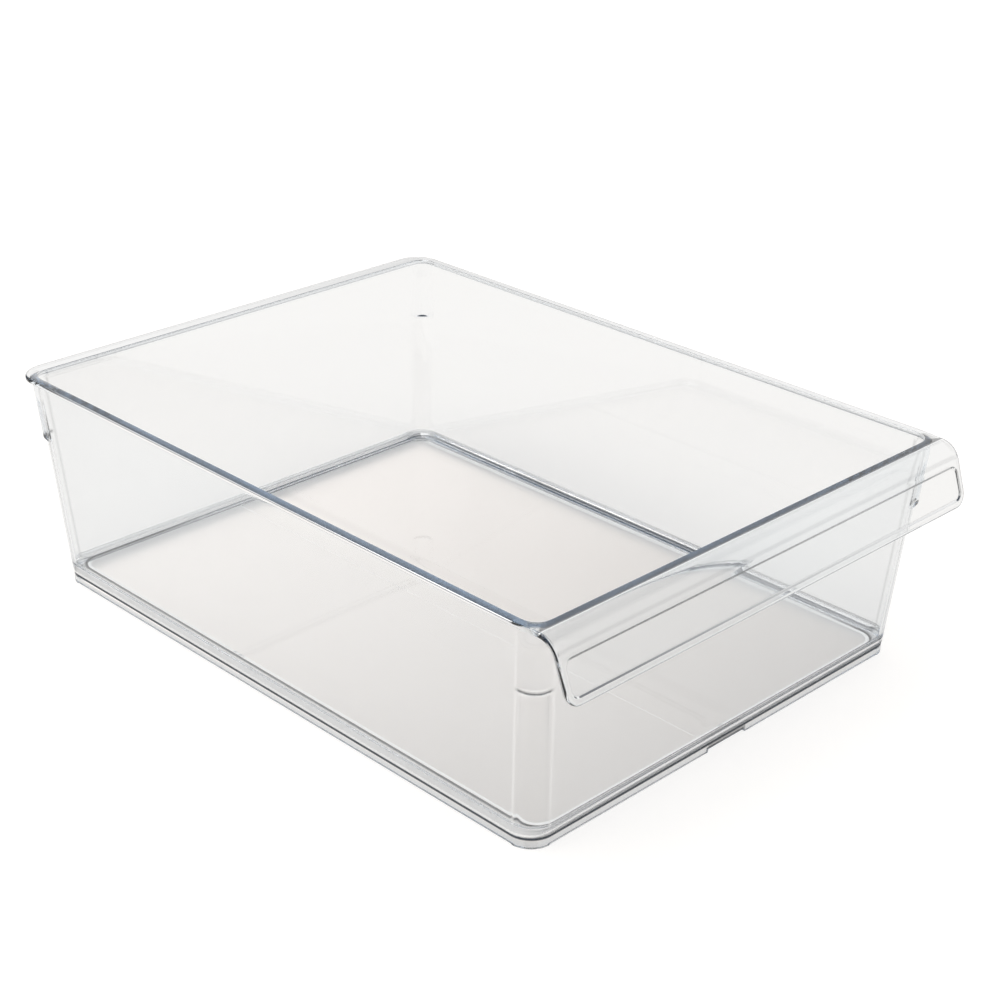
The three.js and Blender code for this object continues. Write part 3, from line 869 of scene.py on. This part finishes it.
def add_floor(shell, sizes, floor_ids):
    """The floor's upper face, with the shallow band down its middle."""
    floor_top = sizes.foot_height + sizes.plate
    edge = np.array(shell.vertices)[floor_ids][:, :2]
    band = (sizes.band_half_width, sizes.half_depth - BAND_END_GAP, BAND_RADIUS,
            np.array([0.0, sizes.middle_y]))
    dish = dish_profile(sizes.band_depth, BAND_EDGE, BAND_SLOPE, 3)
    fade = [(-sizes.band_fade * share, sizes.band_depth * smooth(share))
            for share in np.linspace(0, 1, 7)]
    slope_reach = dish[0][0]
    guard = slope_reach + 0.3 * MM
    sheet = Sheet()
    sheet.loop(edge, floor_ids)
    for inset in FLOOR_INSETS:
        sheet.loop(moved_in(edge, inset * MM))
    for grow in (guard + 0.2 * MM, guard, *(at for at, _ in dish + fade[1:]), -guard):
        sheet.loop(rounded_loop(*band, grow, 4))

    def floor_points(points):
        distance = rounded_distance(*band, points)
        right = np.clip(0.5 + points[:, 0] / sizes.band_half_width, 0, 1)
        depth = (1 - right) * dish_depth(distance, dish) + right * dish_depth(distance, fade)
        return np.column_stack([points, floor_top - depth])

    # Painted shade along the floor's near edges and the band's left side.
    def floor_dark(points):
        at_edge = near_sides(sizes, points) & (distance_to(edge, points) < Place.FLOOR_DARK)
        distance = rounded_distance(*band, points)
        low_side = within(distance, -slope_reach - TOUCH, 0) & (points[:, 0] < 0)
        return np.maximum(at_edge, Dark.FLOOR_BAND * low_side)

    # Painted highlights beside the floor's edges and along the band's left side.
    def floor_bright(points):
        from_edge = distance_to(edge, points)
        beside = within(from_edge, *Place.FLOOR_BRIGHT)
        distance = rounded_distance(*band, points)
        high_side = within(distance, 0, guard + TOUCH) & (points[:, 0] < 0) & ~beside
        far_edge = far_sides(sizes, points) & (from_edge < max(Place.FLOOR_BRIGHT))
        return np.maximum.reduce([
            Bright.FLOOR_EDGE * (beside & near_sides(sizes, points)),
            Bright.FLOOR_BAND * high_side, Bright.FLOOR_FAR_EDGE * far_edge])

    close_sheet(shell, sheet.cut(edge), floor_points, floor_dark, floor_bright)


# Painted shade and painted highlights. Clear plastic gathers dark and bright parts of its
# surroundings along its creases and edges; these marks on the mesh say where, and paint such dark
# lines into its surface colour and such light lines as mirror-like strips.

def far_sides(sizes, points):
    """The right side and the back, which are seen from inside."""
    x, y = points[:, :2].T
    return (x > Place.FAR * sizes.half_width) | (y - sizes.middle_y > Place.FAR * sizes.half_depth)


def near_sides(sizes, points):
    """The left side and the front, where the lines at the floor's edge are strong."""
    return (points[:, 0] < -Place.LEFT * sizes.half_width) | in_front(sizes, points)


def in_front(sizes, points):
    return points[:, 1] < sizes.middle_y - Place.FRONT * sizes.half_depth


def front_share(sizes, points):
    """1 along the front, and from there down to nothing at the left front corner."""
    x, y = points[:, :2].T
    return np.clip((x / sizes.half_width + 1) * 6, 0, 1) * (y < 0)


def corner_bands(points):
    """Soft upright bands beside each corner's ends, over most of the walls' height, for painted
    shade and highlights.
    """
    bands = hump(FROM_END, *Place.CORNER) * (TURNS >= 0)
    on_wall = within(points[:, 2], *Place.CORNER_HEIGHTS)
    return np.tile(bands, len(points) // len(TURNS)) * on_wall


def swell_share(moves):
    """How far each point is on a lug, from 0 on the plain wall to 1 at its middle."""
    swell = np.linalg.norm(moves, axis=1)
    return swell / swell.max()


def bright_lines(sizes, lugs, points, moves, outer_count):
    """Painted highlights above the foot's crease, at the lugs and corners, in the far cove and
    mouth.
    """
    x, y, z = points.T
    swell = swell_share(moves)
    above_crease = z - sizes.foot_height
    front = front_share(sizes, points)
    line = (1.5 + 1.4 * front) * MM
    foot = np.clip(1.6 - np.abs(above_crease - line) / (0.5 * MM), 0, 1)
    glow = (1 - front) * within(above_crease, line, Place.GLOW_TOP)
    shelf = hump(z - lugs.low, *Place.SHELF_BRIGHT) * np.clip(swell * 3, 0, 1)
    shelf *= moves[:, 0] + moves[:, 1] < 0
    above_shelf = hump(z - lugs.high, *Place.ABOVE_SHELF) * np.clip(swell * 3 - 0.3, 0, 1)
    near_corner = (x < 0) & (y < 0)
    bright = np.maximum.reduce([
        foot, Bright.FOOT_GLOW * glow, Bright.SHELF * shelf,
        Bright.ABOVE_SHELF * near_corner * above_shelf,
        Bright.CORNER * near_corner * corner_bands(points)])
    cove = z < sizes.foot_height + sizes.plate + 0.5 * sizes.cove_height
    mouth = z > sizes.height - 0.5 * MM
    inner = far_sides(sizes, points) * (Bright.FAR_COVE * cove + Bright.FAR_MOUTH * mouth)
    bright[outer_count:] = inner[outer_count:]
    bright[:CREASE_FROM * len(TURNS)] = 0
    return bright


def dark_lines(sizes, lugs, points, moves, outer_count, mouth_ids, floor_ids):
    """Painted shade at the foot's crease, ledge and notch, the lugs, corners, mouth and floor edge.
    """
    x, y, z = points.T
    from_crease = z - sizes.foot_height
    front = front_share(sizes, points)
    below = 3 + from_crease / (0.25 * MM)
    above = 1.8 + 0.8 * front - from_crease / (0.5 * MM)
    crease = np.clip(np.where(from_crease < 0, below, above), 0, 1)
    ledge = front * within(from_crease, *Place.LEDGE)
    above_foot_line = front * (np.abs(from_crease - Place.ABOVE_FOOT) < Place.ABOVE_FOOT_REACH)
    shelf = hump(z - lugs.high, *Place.SHELF_DARK) * np.clip(swell_share(moves) * 4, 0, 1)
    outline_corner = (x > 0) != (y > 0)
    dark = np.maximum.reduce([
        crease, Dark.LEDGE * ledge, Dark.ABOVE_FOOT_LINE * above_foot_line, shelf * (x < 0),
        Dark.CORNER * outline_corner * corner_bands(points)])
    dark[:CREASE_FROM * len(TURNS)] = 0
    # Painted shade on the skirt, stronger along the front and in the notch.
    skirt = slice(SKIRT_FROM * len(TURNS), WALL_FROM * len(TURNS))
    at_front = in_front(sizes, points[skirt])
    notch = at_front & (np.abs(x[skirt]) < sizes.notch_half_width + SIDE_MARGIN)
    plain = np.where(at_front, Dark.SKIRT_FRONT, Dark.SKIRT)
    dark[skirt] = np.maximum(dark[skirt], np.where(notch, Dark.NOTCH, plain))
    dark[outer_count:] = 0
    dark[floor_ids] = near_sides(sizes, points[floor_ids])
    at_left = Dark.MOUTH_LEFT * (x[mouth_ids] < -sizes.half_width)
    at_front = y[mouth_ids] < sizes.middle_y - sizes.half_depth
    dark[mouth_ids] = np.where(at_front, Dark.MOUTH_FRONT, at_left)
    return dark


def build_shell(props, plastic):
    """The whole bin as one closed skin."""
    sizes, lugs, rim = props.shell, props.lugs, props.rim
    shell = Shell()
    start, under_ids = shell.stack(foot_rings(sizes) + wall_rings(sizes, lugs))
    shell.faces.append(tuple(reversed(start)))
    outer_count = len(shell.vertices)
    mouth_ids, floor_ids = shell.stack(cavity_rings(sizes, rim))
    moves = np.tile(lug_directions(sizes, lugs), (len(shell.vertices) // len(TURNS), 1))
    end, softness = INNER_SWELL_FADE
    inner_heights = np.array(shell.vertices)[outer_count:, 2]
    fade = smooth(np.clip((end - inner_heights) / softness, 0, 1))
    moves[outer_count:] *= (INNER_SWELL + (1 - INNER_SWELL) * fade)[:, None]
    points = with_lugs(shell, moves, lugs, plastic)
    shell.vertices = [tuple(p) for p in points]
    shell.shade = list(dark_lines(sizes, lugs, points, moves, outer_count, mouth_ids, floor_ids))
    shell.light = list(bright_lines(sizes, lugs, points, moves, outer_count))
    add_plate(shell, sizes, rim, under_ids, mouth_ids)
    add_floor(shell, sizes, floor_ids)

    mesh = bpy.data.meshes.new("clear_bin")
    mesh.from_pydata(shell.vertices, [], shell.faces)
    # Marks for painted shade and painted highlights, which the plastic reads.
    for name, values in (("edge_shade", shell.shade), ("edge_light", shell.light)):
        mark = mesh.attributes.new(name, "FLOAT", "POINT")
        mark.data.foreach_set("value", np.array(values, dtype=np.float32))
    work = bmesh.new()
    work.from_mesh(mesh)
    bmesh.ops.remove_doubles(work, verts=work.verts, dist=1e-6)
    bmesh.ops.recalc_face_normals(work, faces=work.faces)
    for face in work.faces:
        face.smooth = True
    work.to_mesh(mesh)
    work.free()
    mark_matt(mesh, sizes)
    return mesh


def mark_matt(mesh, sizes):
    """Marks what is matt: the floor's underside, and a strip of the wall above the foot's ledge."""
    points = np.empty(len(mesh.vertices) * 3)
    mesh.vertices.foreach_get("co", points)
    x, y, z = points.reshape(-1, 3).T
    across = np.abs(x) - sizes.half_width
    along = np.abs(y - sizes.middle_y) - sizes.half_depth
    height = z - sizes.foot_height
    in_fillet = 1.2 * MM
    inner = -(sizes.foot_inset + sizes.foot_wall + in_fillet)
    underside = (across < inner) & (along < inner) & (height < 0.1 * MM)
    outer_side = np.maximum(across, along) > -0.6 * MM
    light = np.empty(len(mesh.vertices), dtype=np.float32)
    mesh.attributes["edge_light"].data.foreach_get("value", light)
    strip = outer_side & within(height, *Place.MATT_STRIP) & (light < 0.5)
    strip_matt = 0.8
    mark = mesh.attributes.new("matt", "FLOAT", "POINT")
    mark.data.foreach_set("value", np.where(strip, strip_matt, underside).astype(np.float32))


def clear_plastic(look):
    """Clear plastic, with painted shade (a darkened colour) and painted highlights (mirror-like
    strips) along its marked lines, and matt where it is marked so.
    """
    material = bpy.data.materials.new("clear_moulded_plastic")
    material.use_nodes = True
    tree = material.node_tree
    shader, result = tree.nodes["Principled BSDF"], tree.nodes["Material Output"]
    shader.inputs["IOR"].default_value = look.ior
    shader.inputs["Transmission Weight"].default_value = 1
    place = add_node(tree, "ShaderNodeTexCoord")
    handling = add_node(tree, "ShaderNodeTexNoise", {"Scale": 22, "Detail": 6})
    gloss = add_node(tree, "ShaderNodeMapRange", {
        "From Min": 0.35, "From Max": 0.7, "To Min": look.gloss_low, "To Max": look.gloss_high})
    waves = add_node(tree, "ShaderNodeTexNoise", {"Scale": 14, "Detail": 1})
    bump = add_node(tree, "ShaderNodeBump", {"Strength": 1, "Distance": look.ripple})
    shade, light, matt = (add_node(tree, "ShaderNodeAttribute", attribute_name=name)
                          for name in ("edge_shade", "edge_light", "matt"))
    # Painted shade: the surface colour darkens along the marked dark lines.
    tone = add_node(tree, "ShaderNodeMix", data_type="RGBA", values={
        "A": (*look.colour, 1), "B": (*look.painted_shade_colour, 1)})
    # Painted highlights: the surface turns metallic along the marked light lines.
    mirror = add_node(tree, "ShaderNodeMapRange", {"To Max": look.edge_light})
    finish = add_node(tree, "ShaderNodeMix", {"B": look.matt})
    depth = add_node(tree, "ShaderNodeVolumeAbsorption", {
        "Color": (*look.depth_colour, 1), "Density": look.depth_density})
    connect(tree,
            (place, "Object", handling, "Vector"),
            (place, "Object", waves, "Vector"),
            (handling, "Fac", gloss, "Value"),
            (shade, "Fac", tone, "Factor"),
            (tone, "Result", shader, "Base Color"),
            (light, "Fac", mirror, "Value"),
            (mirror, "Result", shader, "Metallic"),
            (matt, "Fac", finish, "Factor"),
            (gloss, "Result", finish, "A"),
            (finish, "Result", shader, "Roughness"),
            (waves, "Fac", bump, "Height"),
            (bump, "Normal", shader, "Normal"),
            (depth, "Volume", result, "Volume"))
    return material


class FRIDGEBIN_OT_shell(bpy.types.Operator):
    """Build the clear shell: foot, floor, walls, corner lugs, rim and front handle lip"""
    bl_idname = "fridge_bin.shell"
    bl_label = "Build Clear Shell"
    bl_options = {"REGISTER", "UNDO"}

    def execute(self, context):
        props = context.scene.fridge_bin
        plastic = clear_plastic(props.look)
        shell = add_object("clear_bin", build_shell(props, plastic))
        shell.data.materials.append(plastic)
        weighted = shell.modifiers.new("Flat faces stay flat", "WEIGHTED_NORMAL")
        weighted.mode = "FACE_AREA"
        weighted.weight = 100
        weighted.keep_sharp = True
        finished = bpy.data.meshes.new_from_object(
            shell.evaluated_get(context.evaluated_depsgraph_get()))
        shell.modifiers.clear()
        shell.data = finished
        finished.name = "clear_bin"
        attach(shell, "root")
        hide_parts(*frame["nodes"])
        return {"FINISHED"}


# Studio

FLOOR_HALF = 4.0
FLOOR_DROP = 0.05 * MM  # keeps the floor clear of the foot's underside
PAINTED_LIGHT_FADE = 9 * MM
LAMP_PLACE, LAMP_AIM, LAMP_SIZE = (-0.5, 0.4, 1.5), (0, 0, 0.05), (1.2, 1.2)
CAMERA = (  # fitted to the straight edges in the photograph
    (0.7122229, 0.2948693, -0.6370170, -0.5531545),
    (-0.7018367, 0.3156770, -0.6385713, -0.5691896),
    (0.0127966, 0.9018870, 0.4317825, 0.4381197),
    (0, 0, 0, 1),
)
BRIGHT_SKY = (0.93, 0.93, 0.93)
SKY_BANDS = (  # height from the horizon to the zenith, and whether it is bright there
    (0.0, True), (0.07, True), (0.12, False), (0.27, False), (0.36, True), (0.62, True),
    (0.78, False))


def floor_material(look, painted_light_half, painted_light_middle):
    """A pale floor, with a warm patch of painted light under the bin that grows brighter towards
    the back and reaches as far as the bin's foot.
    """
    material = bpy.data.materials.new("pale_studio_floor")
    material.use_nodes = True
    tree = material.node_tree
    tree.nodes.clear()
    result = add_node(tree, "ShaderNodeOutputMaterial")
    surface = add_node(tree, "ShaderNodeBsdfDiffuse", {"Color": (*look.floor_colour, 1)})
    glow = add_node(tree, "ShaderNodeEmission")
    place = add_node(tree, "ShaderNodeTexCoord")
    centre = add_node(tree, "ShaderNodeMapping", {"Location": (0, -painted_light_middle, 0)})
    split = add_node(tree, "ShaderNodeSeparateXYZ")
    under = add_node(tree, "ShaderNodeMath", operation="MULTIPLY")
    for slot, (axis, half) in enumerate(zip("XY", painted_light_half)):
        size = add_node(tree, "ShaderNodeMath", operation="ABSOLUTE")
        within = add_node(tree, "ShaderNodeMapRange", {
            "From Min": half, "From Max": half - PAINTED_LIGHT_FADE}, interpolation_type="SMOOTHSTEP")
        connect(tree,
                (split, axis, size, 0),
                (size, 0, within, "Value"),
                (within, "Result", under, slot))
    # Painted light: the glow under the bin grows towards the back.
    level = add_node(tree, "ShaderNodeMath", {1: look.painted_light_rise, 2: look.painted_light_level},
                     operation="MULTIPLY_ADD")
    painted_light_patch = add_node(tree, "ShaderNodeVectorMath", {0: look.painted_light_colour}, operation="SCALE")
    tone = add_node(tree, "ShaderNodeMix", data_type="RGBA", values={
        "A": (*look.floor_glow, 1)})
    both = add_node(tree, "ShaderNodeAddShader")
    connect(tree,
            (place, "Object", centre, "Vector"),
            (centre, "Vector", split, "Vector"),
            (split, "Y", level, 0),
            (level, 0, painted_light_patch, "Scale"),
            (painted_light_patch, "Vector", tone, "B"),
            (under, 0, tone, "Factor"),
            (tone, "Result", glow, "Color"),
            (seen_ray(tree, look.glow_in_glass), 0, glow, "Strength"),
            (surface, 0, both, 0),
            (glow, 0, both, 1),
            (both, 0, result, "Surface"))
    return material


def seen_ray(tree, in_glass=1.0):
    """1 for camera rays, a share of it for glossy and transmission rays, and 0 for the rest."""
    path = add_node(tree, "ShaderNodeLightPath")
    gloss_or_glass = add_node(tree, "ShaderNodeMath", operation="MAXIMUM")
    share = add_node(tree, "ShaderNodeMath", {1: in_glass}, operation="MULTIPLY")
    every = add_node(tree, "ShaderNodeMath", operation="MAXIMUM")
    connect(tree,
            (path, "Is Glossy Ray", gloss_or_glass, 0),
            (path, "Is Transmission Ray", gloss_or_glass, 1),
            (gloss_or_glass, 0, share, 0),
            (share, 0, every, 0),
            (path, "Is Camera Ray", every, 1))
    return every


def studio_world(look):
    """White behind the bin, bright and dark bands in gloss and glass, and a plain even light."""
    world = bpy.data.worlds.new("plain_studio")
    world.use_nodes = True
    tree = world.node_tree
    tree.nodes.clear()
    result = add_node(tree, "ShaderNodeOutputWorld")
    even = add_node(tree, "ShaderNodeBackground", {
        "Color": (1, 0.995, 0.985, 1), "Strength": look.sky_level})
    seen = add_node(tree, "ShaderNodeBackground", {"Strength": 1})
    place = add_node(tree, "ShaderNodeTexCoord")
    split = add_node(tree, "ShaderNodeSeparateXYZ")
    rise = add_node(tree, "ShaderNodeValToRGB")
    elements = rise.color_ramp.elements
    while len(elements) < len(SKY_BANDS):
        elements.new(0.5)
    for element, (at, bright) in zip(elements, SKY_BANDS):
        element.position = at
        element.color = (*(BRIGHT_SKY if bright else look.dark_colour), 1)
    path = add_node(tree, "ShaderNodeLightPath")
    backdrop = add_node(tree, "ShaderNodeMix", data_type="RGBA", values={"B": (1, 1, 1, 1)})
    mix = add_node(tree, "ShaderNodeMixShader")
    connect(tree,
            (place, "Generated", split, "Vector"),
            (split, "Z", rise, "Fac"),
            (path, "Is Camera Ray", backdrop, "Factor"),
            (rise, "Color", backdrop, "A"),
            (backdrop, "Result", seen, "Color"),
            (seen_ray(tree), 0, mix, "Fac"),
            (even, 0, mix, 1),
            (seen, 0, mix, 2),
            (mix, 0, result, "Surface"))
    return world


def soft_lamp(name, place, aim, size, power):
    """A large soft lamp that points at a place."""
    data = bpy.data.lights.new(name, "AREA")
    data.shape = "RECTANGLE"
    data.size, data.size_y = size
    data.energy = power
    lamp = add_object(name, data)
    lamp.location = place
    lamp.rotation_euler = (Vector(aim) - Vector(place)).to_track_quat("-Z", "Y").to_euler()


class FRIDGEBIN_OT_stage(bpy.types.Operator):
    """Set up the pale floor, the plain light and the camera"""
    bl_idname = "fridge_bin.stage"
    bl_label = "Build Studio"
    bl_options = {"REGISTER", "UNDO"}

    def execute(self, context):
        scene = context.scene
        look, sizes = scene.fridge_bin.studio, scene.fridge_bin.shell
        mesh = bpy.data.meshes.new("studio_floor")
        corners = ((-1, -1), (1, -1), (1, 1), (-1, 1))
        mesh.from_pydata([(x * FLOOR_HALF, y * FLOOR_HALF, -FLOOR_DROP) for x, y in corners],
                         [], [(0, 1, 2, 3)])
        # The patch of painted light under the bin ends at the skirt's inner face.
        margin = sizes.foot_inset + sizes.foot_wall
        painted_light_half = (sizes.half_width - margin, sizes.half_depth - margin)
        mesh.materials.append(floor_material(look, painted_light_half, sizes.middle_y))
        floor = add_object("studio_floor", mesh)
        scene.world = studio_world(look)
        soft_lamp("high_soft_box", LAMP_PLACE, LAMP_AIM, LAMP_SIZE, look.lamp_power)
        data = bpy.data.cameras.new("studio_camera")
        data.lens = look.lens
        data.sensor_width = 36
        scene.camera = add_object("studio_camera", data)
        scene.camera.matrix_world = Matrix(CAMERA)
        scene.view_settings.view_transform = "Standard"
        scene.cycles.max_bounces = 40
        scene.cycles.glossy_bounces = 32
        scene.cycles.transmission_bounces = 32
        return {"FINISHED"}


def settings_of(kind, name, description):
    return bpy.props.PointerProperty(type=kind, name=name, description=description)


class FridgeBinSettings(bpy.types.PropertyGroup):
    """All settings of the bin and its studio."""
    shell: settings_of(ShellSizes, "Shell", "Foot, walls and floor")
    lugs: settings_of(LugSizes, "Lugs", "Stacking lugs")
    rim: settings_of(RimSizes, "Rim", "Rim and handle lip")
    look: settings_of(PlasticLook, "Plastic", "Finish of the plastic")
    studio: settings_of(StudioLook, "Studio", "Floor, light and camera")


class FRIDGEBIN_PT_panel(bpy.types.Panel):
    """Lists the steps and the sizes"""
    bl_idname = "FRIDGEBIN_PT_panel"
    bl_label = "Fridge Bin"
    bl_space_type = "VIEW_3D"
    bl_region_type = "UI"
    bl_category = "Fridge Bin"

    def draw(self, context):
        settings = context.scene.fridge_bin
        for operator in (FRIDGEBIN_OT_shell, FRIDGEBIN_OT_stage):
            self.layout.operator(operator.bl_idname)
        for group in (settings.shell, settings.lugs, settings.rim, settings.look, settings.studio):
            box = self.layout.box()
            for name in group.__annotations__:
                box.prop(group, name)


CLASSES = (ShellSizes, LugSizes, RimSizes, PlasticLook, StudioLook, FridgeBinSettings,
           FRIDGEBIN_OT_shell, FRIDGEBIN_OT_stage, FRIDGEBIN_PT_panel)


def register():
    for cls in CLASSES:
        bpy.utils.register_class(cls)
    bpy.types.Scene.fridge_bin = bpy.props.PointerProperty(type=FridgeBinSettings)


def unregister():
    del bpy.types.Scene.fridge_bin
    for cls in reversed(CLASSES):
        bpy.utils.unregister_class(cls)


def main():
    register()
    bpy.ops.fridge_bin.shell()
    bpy.ops.fridge_bin.stage()


if __name__ == "__main__":
    main()
